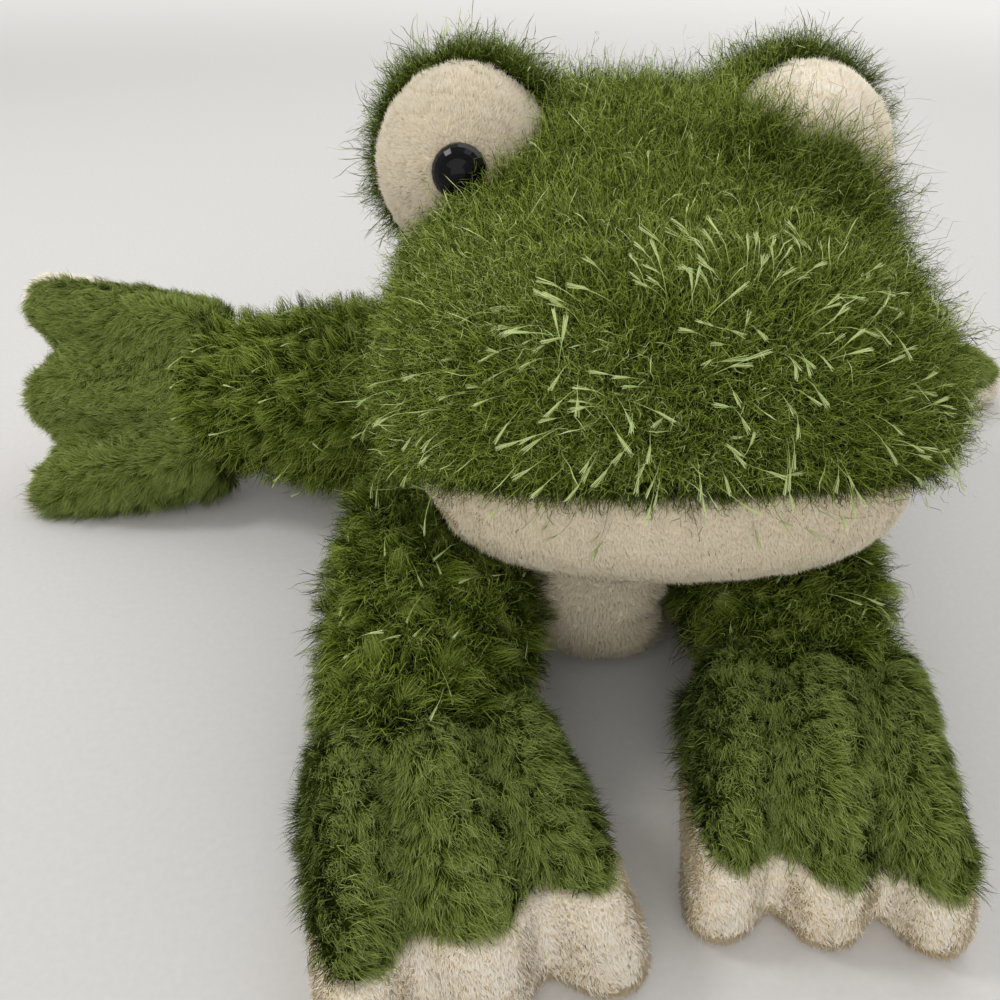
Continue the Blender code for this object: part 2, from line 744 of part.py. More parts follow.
clear_scene()
parts = new_collection("stuffed_frog")
cutters = new_collection("cutters")
materials = make_materials()
pockets = []
arms = {}
frog_frame = add_empty("frog_frame", (0, 0, 0))
floor_span = HIP_SPACING + 4 * (LEG_LENGTH + FOOT_LENGTH)
under_floor = block(
    "under_floor", (-floor_span, -floor_span, -floor_span), (floor_span, floor_span, 0), frog_frame,
)
make_limbs(frog_frame, under_floor)
make_torso(frog_frame, under_floor)
make_head(frog_frame)
centre_on_origin(frog_frame)
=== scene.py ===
# Plush frog: its sewn skins, its pile strand by strand, its materials, light and camera.
# Sizes are metres. The frog faces -Y, its right side is at -X and it rests on z = 0.

import json
from math import radians

import bpy
import numpy as np
from mathutils import Matrix, Vector
from mathutils.bvhtree import BVHTree


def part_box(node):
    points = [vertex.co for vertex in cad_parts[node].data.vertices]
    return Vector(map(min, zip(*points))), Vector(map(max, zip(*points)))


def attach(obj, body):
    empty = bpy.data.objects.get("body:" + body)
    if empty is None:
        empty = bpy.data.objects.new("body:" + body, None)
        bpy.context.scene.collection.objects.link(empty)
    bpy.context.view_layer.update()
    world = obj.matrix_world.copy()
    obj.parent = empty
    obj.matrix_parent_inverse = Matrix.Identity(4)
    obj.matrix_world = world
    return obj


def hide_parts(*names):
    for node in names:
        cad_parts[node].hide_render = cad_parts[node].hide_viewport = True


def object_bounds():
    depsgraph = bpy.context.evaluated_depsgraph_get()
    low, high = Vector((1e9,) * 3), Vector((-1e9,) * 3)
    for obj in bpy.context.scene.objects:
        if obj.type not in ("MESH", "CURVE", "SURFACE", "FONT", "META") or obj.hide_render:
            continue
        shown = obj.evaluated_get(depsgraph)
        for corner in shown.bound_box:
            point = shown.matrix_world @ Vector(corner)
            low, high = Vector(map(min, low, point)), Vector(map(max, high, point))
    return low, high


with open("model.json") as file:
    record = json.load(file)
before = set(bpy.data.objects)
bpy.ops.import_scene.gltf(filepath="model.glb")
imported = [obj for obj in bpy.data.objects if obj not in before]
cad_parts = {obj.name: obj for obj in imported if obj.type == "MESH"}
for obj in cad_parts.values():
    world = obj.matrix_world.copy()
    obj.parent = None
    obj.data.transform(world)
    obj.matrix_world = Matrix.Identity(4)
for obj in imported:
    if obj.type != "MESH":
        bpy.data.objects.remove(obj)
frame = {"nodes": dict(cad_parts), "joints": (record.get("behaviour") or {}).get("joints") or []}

cad_low, cad_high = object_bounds()
SCENE = bpy.context.scene
UP = np.array((0.0, 0.0, 1.0))

MOST_FACES = 180000  # triangles in one object of pile
DENSITY_SHARE = 1.0
HIGHEST = cad_high[2] + 0.0120  # where the longest strands end
LOWEST_SKIN = 0.0002
LOWEST_STRAND = 0.0003
SEAM_REACH = 0.0015  # a skin meets its solid where a neighbour is this near
SEAM_ROUNDS = 5
COVERED_REACH = 0.0006  # no pile grows where a neighbour is this near
RIM_RINGS = {"eye_dome": 3, "palm": 2, "sole": 2}  # rings of covered triangles with pile
CHEST_SWELL = 0.0020
CHEST_WIDER = 0.22
CHEST_BACK = -0.012
CHEST_FADE = 0.012

# How strands differ from one another, as shares of their kind's length, lean or crimp
LENGTH_LIMITS = (0.45, 1.7)
TUFT_LENGTH_LIMITS = (0.7, 1.3)
TUFT_LENGTH_VARIES = 0.12
LEAN_VARIES = 0.08
ROOT_CRIMP = 0.3
TONE_WANDER = ((0.22, 0.010), (0.20, 0.0035))  # strength and scale

# Places on the strand map, whose U runs from root to tip and whose V is the tone
MAP_ROOT = 0.02
MAP_TIP = 0.98
MAP_HALF_WIDTH = 0.004

joints = {joint["name"]: joint for joint in frame["joints"]}
NECK_FROM_ORIGIN = Vector((0.0074, 0.0100, 0.0460))
NECK = Vector(joints["neck_turn"]["pos_m"])
ORIGIN = NECK - NECK_FROM_ORIGIN
HEAD_TURN = radians(-4)
HEAD_TILT = radians(22)
MOUTH_HEIGHT = -0.008

# Camera

PIXELS = 1000  # the picture is as wide as it is high
CAMERA_FROM_ORIGIN = Vector((-0.0402, -0.1668, 0.1470))
CAMERA_DOWN = radians(35)
CAMERA_TURN = radians(-6)


def make_camera():
    data = bpy.data.cameras.new("photo_camera")
    data.sensor_width = 36
    data.lens = 36
    data.clip_start = 0.005
    camera = bpy.data.objects.new("photo_camera", data)
    SCENE.collection.objects.link(camera)
    camera.matrix_world = (
        Matrix.Translation(ORIGIN + CAMERA_FROM_ORIGIN)
        @ Matrix.Rotation(CAMERA_TURN, 4, "Z")
        @ Matrix.Rotation(radians(90) - CAMERA_DOWN, 4, "X")
    )
    SCENE.camera = camera
    return camera


camera = make_camera()


def picture_ray(column, row):
    """The camera's place and the direction in which it sees a point of the picture."""
    spin = camera.matrix_world.to_3x3()
    local = Vector((column / PIXELS - 0.5, 0.5 - row / PIXELS, -1.0))
    return camera.matrix_world.translation, (spin @ local).normalized()


# Skins

def finished_mesh(item):
    """An object's mesh with its modifiers applied."""
    bpy.context.view_layer.update()
    shown = item.evaluated_get(bpy.context.evaluated_depsgraph_get())
    return bpy.data.meshes.new_from_object(shown)


def mesh_arrays(mesh):
    mesh.calc_loop_triangles()
    points = np.empty(len(mesh.vertices) * 3, np.float32)
    mesh.vertices.foreach_get("co", points)
    normals = np.empty(len(mesh.vertices) * 3, np.float32)
    mesh.vertex_normals.foreach_get("vector", normals)
    corners = np.empty(len(mesh.loop_triangles) * 3, np.int32)
    mesh.loop_triangles.foreach_get("vertices", corners)
    return points.reshape(-1, 3), normals.reshape(-1, 3), corners.reshape(-1, 3)


def others_tree(node):
    """All the solids but one, to find where a surface is covered."""
    points = []
    faces = []
    for name, item in frame["nodes"].items():
        if name == node or name.endswith("bead") or name.endswith("washer"):
            continue
        start = len(points)
        points += [vertex.co.copy() for vertex in item.data.vertices]
        faces += [[start + corner for corner in face.vertices] for face in item.data.polygons]
    return BVHTree.FromPolygons(points, faces)


def beside_others(points, normals, tree, reach):
    """Which places have another piece right in front of them."""
    beside = np.zeros(len(points), bool)
    for index in range(len(points)):
        direction = Vector(normals[index])
        start = Vector(points[index]) + direction * 1e-5
        beside[index] = tree.ray_cast(start, direction, reach)[0] is not None
    return beside


def spread_out(values, mesh, rounds):
    """Evens out a value over a mesh, along its edges."""
    ends = np.empty(len(mesh.edges) * 2, np.int32)
    mesh.edges.foreach_get("vertices", ends)
    ends = ends.reshape(-1, 2)
    degree = np.bincount(ends.ravel(), minlength=len(values)) + 1
    for index in range(rounds):
        total = values.astype(float)
        np.add.at(total, ends[:, 0], values[ends[:, 1]])
        np.add.at(total, ends[:, 1], values[ends[:, 0]])
        values = total / degree
    return values


def make_skin(name, node, body, material, voxel, rounds, draw_in):
    """A smooth fabric skin in the place of a solid, drawn in to where its pile is rooted."""
    mesh = frame["nodes"][node].data.copy()
    item = bpy.data.objects.new(name, mesh)
    SCENE.collection.objects.link(item)
    remesh = item.modifiers.new("weld", "REMESH")
    remesh.voxel_size = voxel
    remesh.use_smooth_shade = True
    smooth = item.modifiers.new("soften", "SMOOTH")
    smooth.factor = 0.5
    smooth.iterations = rounds
    mesh = finished_mesh(item)
    item.modifiers.clear()
    item.data = mesh
    points, normals, _ = mesh_arrays(mesh)
    seam = beside_others(points, normals, others_tree(node), SEAM_REACH)
    seam = spread_out(seam.astype(float), mesh, SEAM_ROUNDS)
    depth = draw_in + (min(draw_in, 0.0) - draw_in) * seam
    front = ((CHEST_BACK - points[:, 1]) / CHEST_FADE).clip(0, 1) * (node == "belly_panel")
    points = points - normals * (depth - CHEST_SWELL * front)[:, None]
    points[:, 0] += (points[:, 0] - NECK.x) * CHEST_WIDER * front
    points[:, 2] = np.maximum(points[:, 2], LOWEST_SKIN)
    mesh.vertices.foreach_set("co", points.astype(np.float32).ravel())
    mesh.materials.clear()
    mesh.materials.append(material)
    mesh.update()
    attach(item, body)
    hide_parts(node)
    return item


# Pile

def unit(vectors):
    return vectors / np.maximum(np.linalg.norm(vectors, axis=1, keepdims=True), 1e-9)


def along_surface(vectors, normals):
    return vectors - normals * np.sum(vectors * normals, axis=1, keepdims=True)


def waves(points, scale, phase):
    """A slow wander between -1 and 1 over a surface."""
    turned = points / scale
    return (
        np.sin(turned[:, 0] * 1.0 + turned[:, 1] * 0.6 + phase)
        + np.sin(turned[:, 1] * 1.1 - turned[:, 2] * 0.7 + phase * 2.1)
        + np.sin(turned[:, 2] * 0.9 + turned[:, 0] * 0.5 + phase * 3.7)
    ) / 3


def open_faces(item, node):
    """The skin's triangles that no other piece covers, with the rings of RIM_RINGS."""
    points, normals, corners = mesh_arrays(item.data)
    centres = points[corners].mean(axis=1)
    edges = points[corners]
    across = np.cross(edges[:, 1] - edges[:, 0], edges[:, 2] - edges[:, 0])
    areas = np.linalg.norm(across, axis=1) / 2
    reach = COVERED_REACH + max(skin_draw[node], 0.0)
    shown = ~beside_others(centres, unit(across), others_tree(node), reach)
    for ring in range(RIM_RINGS.get(node.split("_", 1)[1], 0)):
        seen = np.zeros(len(points), bool)
        seen[corners[shown]] = True
        shown = seen[corners].any(axis=1)
    return points, normals, corners[shown], areas[shown]


def strand_roots(surface, density, weigh, rng):
    """Random places on a surface, with the surface's direction at each."""
    points, normals, corners, areas = surface
    chances = areas.astype(np.float64)
    if weigh is not None:
        chances = chances * weigh(points[corners].mean(axis=1), unit(normals[corners].mean(axis=1)))
    count = int(chances.sum() * 1e6 * density * DENSITY_SHARE)
    chosen = rng.choice(len(corners), count, p=chances / chances.sum())
    first = rng.random(count)
    second = rng.random(count)
    over = first + second > 1
    first[over] = 1 - first[over]
    second[over] = 1 - second[over]
    shares = np.stack((1 - first - second, first, second), axis=1)[:, :, None]
    places = (points[corners[chosen]] * shares).sum(axis=1)
    directions = unit((normals[corners[chosen]] * shares).sum(axis=1))
    return places, directions


def tuft_numbers(roots, size, rng):
    """Groups roots into tufts of about one size."""
    wander = np.stack([waves(roots, size * 1.7, phase) for phase in rng.random(3) * 9], axis=1)
    cells = np.floor((roots + wander * size * 0.9) / size).astype(np.int64)
    keys = (cells[:, 0] * 73856093) ^ (cells[:, 1] * 19349663) ^ (cells[:, 2] * 83492791)
    return np.unique(keys, return_inverse=True)[1]


def tuft_mean(values, numbers, counts):
    """Each strand's tuft's mean of a value."""
    sums = np.stack([np.bincount(numbers, values[:, axis]) for axis in range(3)], axis=1)
    return (sums / counts[:, None])[numbers]


def grow(roots, normals, flow, kind, rng):
    """Paths of strands from their roots: an array of steps by strands by three."""
    count = len(roots)
    numbers = tuft_numbers(roots, kind["tuft"], rng)
    counts = np.bincount(numbers).astype(float)
    shared = rng.normal(size=(len(counts), 3))[numbers]
    combed = along_surface(flow(roots, normals), normals)
    strength = np.linalg.norm(combed, axis=1)
    own = rng.normal(size=(count, 3))
    tangent = combed + kind["stray"] * own + kind["sway"] * shared
    tangent = unit(along_surface(tangent, normals))
    lengths = kind["length"] * (1 + kind["uneven"] * rng.normal(size=count)).clip(*LENGTH_LIMITS)
    lengths = lengths * (1 + TUFT_LENGTH_VARIES * shared[:, 0]).clip(*TUFT_LENGTH_LIMITS)
    if "grow" in kind:
        lengths = lengths * kind["grow"](roots, normals)
    shared_lean = rng.normal(size=len(counts))[numbers] * kind["lean_wander"]
    lean = kind["lean"][0] + shared_lean + rng.normal(size=count) * LEAN_VARIES
    steps = kind["steps"]
    curl = own * kind["curl"]
    arc = np.cross(normals, tangent) * (shared[:, 1] * kind["arc"])[:, None]
    path = [roots]
    stem = kind.get("stem", 1 / steps)
    parts = [stem] + [(1 - stem) / (steps - 1)] * (steps - 1)
    for step in range(steps):
        share = (step + 0.5) / steps
        bent = lean + (kind["lean"][1] - kind["lean"][0]) * share
        bent = ((0.30 + 0.70 * strength) * bent).clip(0, 1.3)[:, None]
        heading = normals * (1 - bent) + tangent * bent + (curl + arc - UP * kind["droop"]) * share
        crimp = kind["crimp"] * (ROOT_CRIMP if step == 0 else 1.0)
        heading = unit(heading) + rng.normal(size=(count, 3)) * crimp
        path.append(path[-1] + unit(heading) * (lengths[:, None] * parts[step]))
    for step in range(1, steps + 1):
        pull = kind["gather"] * (step / steps) ** 1.3
        path[step] = path[step] + (tuft_mean(path[step], numbers, counts) - path[step]) * pull
    path = np.array(path)
    room = (HIGHEST - roots[:, 2]) / np.maximum(path[-1, :, 2] - roots[:, 2], 1e-6)
    path = roots + (path - roots) * np.clip(room, 0.2, 1)[:, None]
    path[:, :, 2] = np.maximum(path[:, :, 2], LOWEST_STRAND + 0.0004 * rng.random(count))
    return path


def brushes(path, normals, tones, kind, rng):
    """The split end of each long strand: slivers that leave it and spread."""
    shapes = []
    spread = kind["spread"]
    sliver_kind = changed(kind, widths=(0.5, 0.6, 0.5), first_height=0.66)
    tip = unit(path[-1] - path[-2])
    middle = (path[-3] + path[-2]) / 2
    for sliver in range(kind["brush"]):
        out = unit(along_surface(rng.normal(size=tip.shape), tip))
        out = out * (spread * (0.3 + 0.7 * rng.random(len(tip))))[:, None]
        over = tip * (spread * (2.5 * rng.random(len(tip)) - 0.8))[:, None]
        ends = np.array((
            middle,
            path[-2] + out * 0.5,
            path[-1] + out + over * 0.5,
            path[-1] + out * 1.1 + over,
        ))
        ends[:, :, 2] = np.maximum(ends[:, :, 2], LOWEST_STRAND)
        shapes.append(ribbons(ends, normals, tones, sliver_kind, rng))
    return shapes


def ribbons(path, normals, tones, kind, rng):
    """Flat strands that narrow to a point: corners, faces, map places and soft normals."""
    steps = len(path) - 1
    count = path.shape[1]
    facing = normals + rng.normal(size=(count, 3)) * kind["scatter"]
    widths = kind["width"] * (0.75 + 0.5 * rng.random(count))[:, None]
    own_share = kind.get("own_normal", 0.40)
    rings = []
    bends = []
    for step in range(steps + 1):
        ahead = unit(path[min(step + 1, steps)] - path[max(step - 1, 0)])
        side = unit(np.cross(ahead, facing))
        flat = np.cross(side, ahead)
        bend = unit((1 - own_share) * normals + own_share * flat + 0.20 * ahead)
        if step == steps:
            rings.append(path[step])
            bends.append(bend)
            continue
        half = side * widths * kind["widths"][step] / 2
        rings += [path[step] - half, path[step] + half]
        bends += [bend, bend]
    points = np.stack(rings, axis=1).reshape(-1, 3)
    bends = np.stack(bends, axis=1).reshape(-1, 3)
    per = 2 * steps + 1
    first = (np.arange(count) * per)[:, None]
    quads = [(2 * step, 2 * step + 1, 2 * step + 3, 2 * step + 2) for step in range(steps - 1)]
    tip = (2 * steps - 2, 2 * steps - 1, 2 * steps)
    strand = np.array([corner for quad in quads for corner in quad] + list(tip))
    corners = first + strand[None]
    low = kind.get("first_height", MAP_ROOT)
    heights = low + (MAP_TIP - low) * np.arange(steps + 1) / steps
    u = np.broadcast_to(np.repeat(heights, 2)[strand], corners.shape)
    v = np.where(strand % 2 == 1, MAP_HALF_WIDTH, -MAP_HALF_WIDTH)[None] + tones[:, None]
    v[:, -1] = tones
    sizes = np.tile([4] * (steps - 1) + [3], count)
    return points, corners.ravel(), sizes, np.stack((u, v), axis=2).reshape(-1, 2), bends


def pile_object(name, shapes, material, body):
    """One mesh of many strands."""
    starts = np.cumsum([0] + [len(shape[0]) for shape in shapes])
    points = np.concatenate([shape[0] for shape in shapes])
    corners = np.concatenate([shape[1] + start for shape, start in zip(shapes, starts)])
    sizes = np.concatenate([shape[2] for shape in shapes])
    places = np.concatenate([shape[3] for shape in shapes])
    bends = np.concatenate([shape[4] for shape in shapes])
    mesh = bpy.data.meshes.new(name)
    mesh.vertices.add(len(points))
    mesh.vertices.foreach_set("co", points.astype(np.float32).ravel())
    mesh.loops.add(len(corners))
    mesh.loops.foreach_set("vertex_index", corners.astype(np.int32))
    mesh.polygons.add(len(sizes))
    firsts = np.concatenate(([0], np.cumsum(sizes)[:-1])).astype(np.int32)
    mesh.polygons.foreach_set("loop_start", firsts)
    mesh.polygons.foreach_set("use_smooth", np.ones(len(sizes), bool))
    strand_map = mesh.uv_layers.new(name="OFBake")
    strand_map.data.foreach_set("uv", places.astype(np.float32).ravel())
    mesh.materials.append(material)
    mesh.update(calc_edges=True)
    mesh.normals_split_custom_set_from_vertices(bends.astype(np.float32))
    item = bpy.data.objects.new(name, mesh)
    SCENE.collection.objects.link(item)
    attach(item, body)


def triangle_count(shape):
    """Triangles in a shape, whose third array holds each face's corners."""
    return int((shape[2] - 2).sum())


def make_pile(name, surface, body, kinds, flow, material, seed):
    """Grows every kind of strand on one surface, in pieces of a limited size."""
    rng = np.random.default_rng(seed)
    shapes = []
    for kind in kinds:
        roots, normals = strand_roots(surface, kind["density"], kind.get("weigh"), rng)
        path = grow(roots, normals, flow, kind, rng)
        low, high = kind["tones"]
        tones = low + (high - low) * rng.random(len(roots))
        for number, (strength, scale) in enumerate(TONE_WANDER):
            wander = strength * waves(roots, scale, seed + 2 * number)
            tones = tones + (high - low) * wander
        tones = tones.clip(max(low, 0.01), min(high, 0.99))
        chunk = MOST_FACES // (4 * kind["steps"])
        for start in range(0, len(roots), chunk):
            part = slice(start, start + chunk)
            shapes.append(ribbons(path[:, part], normals[part], tones[part], kind, rng))
        if "brush" in kind:
            shapes += brushes(path, normals, tones, kind, rng)
    group = []
    made = 0
    for shape in shapes + [None]:
        full = group and shape and sum(map(triangle_count, group + [shape])) > MOST_FACES
        if full or (group and shape is None):
            made += 1
            pile_object(name + "_" + str(made), group, material, body)
            group = []
        group.append(shape)


def changed(kind, **changes):
    """A kind of strand with some of its facts changed."""
    return {**kind, **changes}


# Kinds of strand. Lengths are metres, density is strands per square millimetre and tones is
# the range of V: the green and cream materials turn to their pale ramp above PALE_ABOVE.

PALE_ABOVE = 0.80

UNDER = {
    "density": 5.5, "length": 0.0056, "uneven": 0.25, "width": 0.00013, "widths": (1, 1, 0.8),
    "steps": 3, "lean": (0.15, 0.50), "lean_wander": 0.10, "stray": 1.00, "sway": 0.25,
    "curl": 0.45, "arc": 0.0, "crimp": 0.60, "droop": 0.0, "tuft": 0.0030, "gather": 0.10,
    "scatter": 0.5, "tones": (0.02, 0.60),
}
FINE = {
    "density": 1.8, "length": 0.0074, "uneven": 0.22, "width": 0.00011,
    "widths": (1, 0.9, 0.7), "steps": 3, "lean": (0.12, 0.55), "lean_wander": 0.14,
    "stray": 0.85, "sway": 0.45, "curl": 0.28, "arc": 0.2, "crimp": 0.30, "droop": 0.08,
    "tuft": 0.0034, "gather": 0.28, "scatter": 0.5, "tones": (0.15, 0.79),
}
FRIZZ = {
    "density": 4.0, "length": 0.0080, "uneven": 0.28, "width": 0.00009,
    "widths": (1, 1, 1, 1, 0.9), "steps": 5, "stem": 0.55, "lean": (0.12, 0.60),
    "lean_wander": 0.15, "stray": 1.10, "sway": 0.30, "curl": 0.40, "arc": 0.0, "crimp": 1.10,
    "droop": 0.04, "tuft": 0.0040, "gather": 0.05, "scatter": 0.5, "tones": (0.40, 0.84),
}
LOOSE = {
    "density": 0.6, "length": 0.0098, "uneven": 0.18, "width": 0.00012,
    "widths": (1, 0.9, 0.8, 0.8), "steps": 4, "lean": (0.12, 0.60), "lean_wander": 0.12,
    "stray": 0.55, "sway": 0.40, "curl": 0.30, "arc": 0.3, "crimp": 0.20, "droop": 0.14,
    "tuft": 0.0050, "gather": 0.20, "scatter": 0.45, "tones": (0.55, 0.79),
}
FLARED = {
    "density": 0.06, "length": 0.0120, "uneven": 0.14, "width": 0.00011,
    "widths": (1, 1, 0.95, 0.9, 0.9, 0.9), "steps": 6, "lean": (0.00, 1.10),
    "lean_wander": 0.08, "stray": 0.14, "sway": 0.40, "curl": 0.08, "arc": 0.6, "crimp": 0.05,
    "droop": 0.30, "tuft": 0.0080, "gather": 0.0, "scatter": 0.30, "tones": (0.83, 0.98),
    "brush": 9, "spread": 0.00042,
}
HAIRS = {
    "density": 0.10, "length": 0.0100, "uneven": 0.20, "width": 0.00013,
    "widths": (1, 1, 0.95, 0.95, 1.0, 1.2), "steps": 6, "lean": (0.00, 0.45),
    "lean_wander": 0.10, "stray": 0.40, "sway": 0.25, "curl": 0.40, "arc": 0.4, "crimp": 0.12,
    "droop": 0.15, "tuft": 0.0060, "gather": 0.05, "scatter": 0.35, "tones": (0.82, 0.92),
}
SHORT = {
    "density": 14.0, "length": 0.0032, "uneven": 0.22, "width": 0.00011, "widths": (1, 0.85),
    "steps": 2, "lean": (0.25, 0.80), "lean_wander": 0.12, "stray": 0.40, "sway": 0.42,
    "curl": 0.12, "arc": 0.0, "crimp": 0.12, "droop": 0.25, "tuft": 0.0022, "gather": 0.34,
    "scatter": 0.45, "tones": (0.05, 0.79),
}
VELOUR = {
    "density": 24.0, "length": 0.0012, "uneven": 0.20, "width": 0.00011, "widths": (1, 0.9),
    "steps": 2, "lean": (0.25, 0.68), "lean_wander": 0.05, "stray": 0.40, "sway": 0.18,
    "curl": 0.05, "arc": 0.0, "crimp": 0.10, "droop": 0.0, "tuft": 0.0028, "gather": 0.05,
    "scatter": 0.15, "tones": (0.60, 0.80), "own_normal": 0.12,
}
DOME = changed(
    VELOUR, density=19.0, length=0.0016, lean=(0.30, 0.75), lean_wander=0.04,
    stray=0.25, sway=0.20, crimp=0.05, tuft=0.0032, gather=0.15,
)

# Materials

def shade(red, green, blue):
    """A colour written as the eye sees it, 0 to 255, turned to linear light."""
    values = []
    for value in (red, green, blue):
        share = value / 255
        values.append(share / 12.92 if share <= 0.04045 else ((share + 0.055) / 1.055) ** 2.4)
    return (*values, 1)


def new_material(name, roughness, sheen=0.0, specular=0.10):
    material = bpy.data.materials.new(name)
    material.use_nodes = True
    nodes = material.node_tree.nodes
    surface = nodes["Principled BSDF"]
    surface.inputs["Roughness"].default_value = roughness
    surface.inputs["Sheen Weight"].default_value = sheen
    surface.inputs["Sheen Roughness"].default_value = 0.5
    surface.inputs["Specular IOR Level"].default_value = specular
    return material, nodes, material.node_tree.links, surface


def ramp(nodes, stops):
    item = nodes.new("ShaderNodeValToRGB")
    band = item.color_ramp
    while len(band.elements) < len(stops):
        band.elements.new(0.5)
    for element, (place, colour) in zip(band.elements, stops):
        element.position = place
        element.color = colour
    return item


def pile_material(name, ordinary, pale, dim, bright, roughness):
    """Colour runs from root to tip along U; V holds each strand's own tone."""
    material, nodes, links, surface = new_material(name + "_pile", roughness)
    material["slot"] = name
    places = nodes.new("ShaderNodeUVMap")
    places.uv_map = "OFBake"
    parts = nodes.new("ShaderNodeSeparateXYZ")
    links.new(places.outputs["UV"], parts.inputs["Vector"])
    plain = ramp(nodes, ordinary)
    tipped = ramp(nodes, pale)
    links.new(parts.outputs["X"], plain.inputs["Fac"])
    links.new(parts.outputs["X"], tipped.inputs["Fac"])
    chosen = nodes.new("ShaderNodeMath")
    chosen.operation = "GREATER_THAN"
    chosen.inputs[1].default_value = PALE_ABOVE
    links.new(parts.outputs["Y"], chosen.inputs[0])
    mixed = nodes.new("ShaderNodeMix")
    mixed.data_type = "RGBA"
    links.new(chosen.outputs[0], mixed.inputs["Factor"])
    links.new(plain.outputs["Color"], mixed.inputs["A"])
    links.new(tipped.outputs["Color"], mixed.inputs["B"])
    tone = nodes.new("ShaderNodeMapRange")
    tone.inputs["From Max"].default_value = PALE_ABOVE
    tone.inputs["To Min"].default_value = dim
    tone.inputs["To Max"].default_value = bright
    links.new(parts.outputs["Y"], tone.inputs["Value"])
    lit = nodes.new("ShaderNodeVectorMath")
    lit.operation = "SCALE"
    links.new(mixed.outputs["Result"], lit.inputs[0])
    links.new(tone.outputs["Result"], lit.inputs["Scale"])
    links.new(lit.outputs[0], surface.inputs["Base Color"])
    return material


def cloth_material(name, dark, light, grain, roughness=0.9, sheen=0.0):
    """The knitted backing that shows between strands, and other plain matter."""
    material, nodes, links, surface = new_material(name, roughness, sheen)
    spots = nodes.new("ShaderNodeTexNoise")
    spots.inputs["Scale"].default_value = grain
    spots.inputs["Detail"].default_value = 5
    where = nodes.new("ShaderNodeTexCoord")
    links.new(where.outputs["Object"], spots.inputs["Vector"])
    band = ramp(nodes, ((0.35, dark), (0.65, light)))
    links.new(spots.outputs["Fac"], band.inputs["Fac"])
    links.new(band.outputs["Color"], surface.inputs["Base Color"])
    bump = nodes.new("ShaderNodeBump")
    bump.inputs["Strength"].default_value = 0.6
    bump.inputs["Distance"].default_value = 0.0004
    links.new(spots.outputs["Fac"], bump.inputs["Height"])
    links.new(bump.outputs["Normal"], surface.inputs["Normal"])
    return material


def bead_material():
    material, nodes, links, surface = new_material("bead_black", 0.10, specular=0.14)
    smear = nodes.new("ShaderNodeTexNoise")
    smear.inputs["Scale"].default_value = 260
    where = nodes.new("ShaderNodeTexCoord")
    links.new(where.outputs["Object"], smear.inputs["Vector"])
    darkest = (0.0016, 0.0016, 0.0018, 1)
    lightest = (0.0026, 0.0027, 0.0030, 1)
    band = ramp(nodes, ((0.3, darkest), (0.7, lightest)))
    links.new(smear.outputs["Fac"], band.inputs["Fac"])
    links.new(band.outputs["Color"], surface.inputs["Base Color"])
    rough = nodes.new("ShaderNodeMapRange")
    rough.inputs["To Min"].default_value = 0.07
    rough.inputs["To Max"].default_value = 0.15
    links.new(smear.outputs["Fac"], rough.inputs["Value"])
    links.new(rough.outputs["Result"], surface.inputs["Roughness"])
    return material


green_shag = pile_material(
    "green_shag",
    (
        (0.0, shade(34, 44, 2)), (0.35, shade(69, 83, 12)),
        (0.75, shade(115, 129, 50)), (1.0, shade(160, 170, 98)),
    ),
    (
        (0.0, shade(46, 58, 12)), (0.45, shade(104, 120, 60)),
        (0.8, shade(158, 172, 112)), (1.0, shade(196, 206, 156)),
    ),
    dim=0.70, bright=1.52, roughness=0.85,
)
green_plush = pile_material(
    "green_plush",
    ((0.0, shade(62, 73, 16)), (0.5, shade(108, 122, 50)), (1.0, shade(152, 166, 98))),
    ((0.0, shade(76, 88, 28)), (0.6, shade(130, 145, 74)), (1.0, shade(170, 183, 120))),
    dim=0.72, bright=1.22, roughness=0.85,
)
cream_plush = pile_material(
    "cream_plush",
    ((0.0, shade(236, 218, 182)), (0.5, shade(247, 233, 204)), (1.0, shade(251, 243, 224))),
    ((0.0, shade(245, 235, 216)), (0.5, shade(252, 245, 231)), (1.0, shade(254, 250, 241))),
    dim=0.66, bright=1.02, roughness=0.9,
)
# The dark green of these two backings is partly the undercoat's own colour and partly painted
# shade, for the dark depth between strands.
green_backing_and_shade = cloth_material("green_backing_and_shade", shade(24, 32, 3), shade(40, 51, 8), 900)
plush_backing_and_shade = cloth_material("plush_backing_and_shade", shade(38, 47, 7), shade(58, 69, 16), 1100)
cream_backing = cloth_material("cream_backing", shade(240, 227, 202), shade(248, 238, 218), 1100)
filling_fibre = cloth_material(
    "filling_fibre", shade(214, 214, 210), shade(240, 240, 238), 420, roughness=0.95, sheen=0.2,
)
washer_plastic = cloth_material(
    "washer_plastic", shade(206, 206, 200), shade(222, 222, 217), 300, roughness=0.45,
)
bead_gloss = bead_material()

# Each skin: body, backing, voxel, smoothing rounds, and how far it is drawn in for its pile
SKINS = {
    "head_crown": ("head", green_backing_and_shade, 0.0016, 8, 0.0026),
    "lower_jaw": ("head", cream_backing, 0.0011, 4, 0.0005),
    "torso_back": ("torso", green_backing_and_shade, 0.0011, 4, 0.0009),
    "belly_panel": ("torso", cream_backing, 0.0016, 8, -0.0022),
}
for side in ("right", "left"):
    SKINS[side + "_eye_dome"] = ("head", cream_backing, 0.0010, 6, 0.0005)
    SKINS[side + "_brow"] = ("head", green_backing_and_shade, 0.0012, 8, 0.0016)
    SKINS[side + "_arm"] = (side + "_arm", green_backing_and_shade, 0.0016, 8, 0.0026)
    SKINS[side + "_leg"] = (side + "_leg", green_backing_and_shade, 0.0016, 8, 0.0026)
    SKINS[side + "_hand"] = (side + "_hand", plush_backing_and_shade, 0.0010, 8, 0.0012)
    SKINS[side + "_palm"] = (side + "_hand", cream_backing, 0.0010, 6, 0.0005)
    SKINS[side + "_foot"] = (side + "_foot", plush_backing_and_shade, 0.0010, 8, 0.0012)
    SKINS[side + "_sole"] = (side + "_foot", cream_backing, 0.0010, 6, 0.0005)

